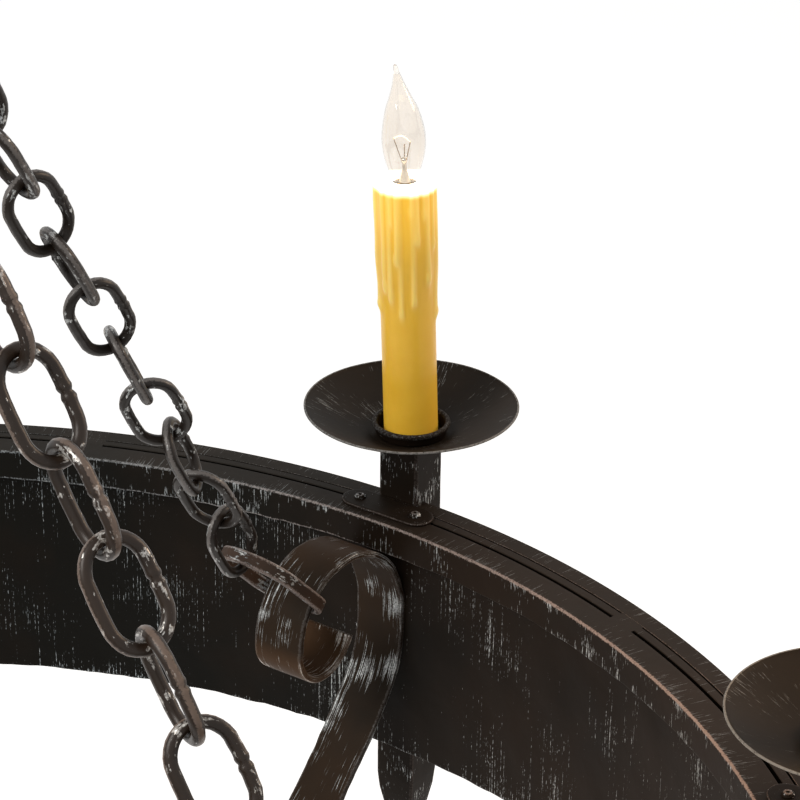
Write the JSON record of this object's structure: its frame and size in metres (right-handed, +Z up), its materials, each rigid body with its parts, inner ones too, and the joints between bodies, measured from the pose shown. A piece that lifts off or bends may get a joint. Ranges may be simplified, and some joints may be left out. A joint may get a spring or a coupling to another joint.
{
  "type": "wagon wheel chandelier",
  "caption": "Wagon wheel chandelier: deep iron band with a flat rim, wax-look candle lamps on drip pans, rolled strap scrolls and chains to a ceiling canopy.",
  "frame": {"origin": "on the ceiling, at the centre of the outlet box screws and on the axis of the wheel", "axes": "+Z up out of the ceiling, +X along the ceiling bar, over strap scroll 1 and candle 1; Y over scroll 2 and candle 3"},
  "size_m": [1.376, 1.376, 1.2715],
  "materials": {
    "iron": "black wrought iron, silver dry-brushed, with coppery worn edges",
    "zinc": "zinc-plated steel",
    "socket": "black phenolic lamp socket",
    "wax": "amber wax-look polyresin, satin",
    "lamp_glass": "clear blown glass"
  },
  "bodies": {
    "ceiling": {"ceiling_bar": "zinc", "nipple": "zinc", "lock_nuts": "zinc", "canopy_loop": "iron"},
    "canopy": {"canopy": "iron"},
    "collar": {"collar_nut": "iron"},
    "swing_link": {"swing_link": "iron"},
    "wheel": {"candle_cups": "iron", "candle_post_1": "iron", "candle_post_2": "iron", "candle_post_3": "iron", "candle_post_4": "iron", "candle_post_5": "iron", "candle_post_6": "iron", "candle_post_7": "iron", "candle_post_8": "iron", "candle_sleeves": "wax", "candle_stems": "zinc", "chain_1": "iron", "chain_2": "iron", "chain_3": "iron", "chain_4": "iron", "drip_pans": "iron", "eye_bolt": "iron", "eye_nut": "iron", "finial": "iron", "finial_nut": "iron", "foot_screws": "iron", "hub_bolts": "iron", "hub_cap": "iron", "hub_nuts": "iron", "hub_plate": "iron", "lamp_sockets": "socket", "oval_ring_1": "iron", "oval_ring_2": "iron", "oval_ring_3": "iron", "oval_ring_4": "iron", "rim_angle": "iron", "rim_band": "iron", "spreader_plate": "iron", "strap_scroll_1": "iron", "strap_scroll_2": "iron", "strap_scroll_3": "iron", "strap_scroll_4": "iron"},
    "bulb_1": {"bulb_1": "lamp_glass"},
    "bulb_2": {"bulb_2": "lamp_glass"},
    "bulb_3": {"bulb_3": "lamp_glass"},
    "bulb_4": {"bulb_4": "lamp_glass"},
    "bulb_5": {"bulb_5": "lamp_glass"},
    "bulb_6": {"bulb_6": "lamp_glass"},
    "bulb_7": {"bulb_7": "lamp_glass"},
    "bulb_8": {"bulb_8": "lamp_glass"}
  },
  "joints": [
    {"name": "loop_swing", "type": "hinge", "parent": "ceiling", "child": "swing_link", "pos_m": [0, 0, -0.104], "axis": [1, 0, 0], "range_deg": [-20, 20]},
    {"name": "link_swing", "type": "hinge", "parent": "swing_link", "child": "wheel", "pos_m": [0, 0, -0.14948], "axis": [0, 1, 0], "range_deg": [-20, 20]},
    {"name": "canopy_drop", "type": "slide", "parent": "ceiling", "child": "canopy", "axis": [0, 0, 1], "range_m": [-0.013, 0]},
    {"name": "collar_unscrew", "type": "slide", "parent": "ceiling", "child": "collar", "axis": [0, 0, 1], "range_m": [-0.013, 0]},
    {"name": "bulb_1_out", "type": "slide", "parent": "wheel", "child": "bulb_1", "axis": [0, 0, 1], "range_m": [0, 0.03]},
    {"name": "bulb_2_out", "type": "slide", "parent": "wheel", "child": "bulb_2", "axis": [0, 0, 1], "range_m": [0, 0.03]},
    {"name": "bulb_3_out", "type": "slide", "parent": "wheel", "child": "bulb_3", "axis": [0, 0, 1], "range_m": [0, 0.03]},
    {"name": "bulb_4_out", "type": "slide", "parent": "wheel", "child": "bulb_4", "axis": [0, 0, 1], "range_m": [0, 0.03]},
    {"name": "bulb_5_out", "type": "slide", "parent": "wheel", "child": "bulb_5", "axis": [0, 0, 1], "range_m": [0, 0.03]},
    {"name": "bulb_6_out", "type": "slide", "parent": "wheel", "child": "bulb_6", "axis": [0, 0, 1], "range_m": [0, 0.03]},
    {"name": "bulb_7_out", "type": "slide", "parent": "wheel", "child": "bulb_7", "axis": [0, 0, 1], "range_m": [0, 0.03]},
    {"name": "bulb_8_out", "type": "slide", "parent": "wheel", "child": "bulb_8", "axis": [0, 0, 1], "range_m": [0, 0.03]}
  ],
  "couplings": [
    {"joint": "collar_unscrew", "follows": "canopy_drop", "ratio": 1}
  ]
}
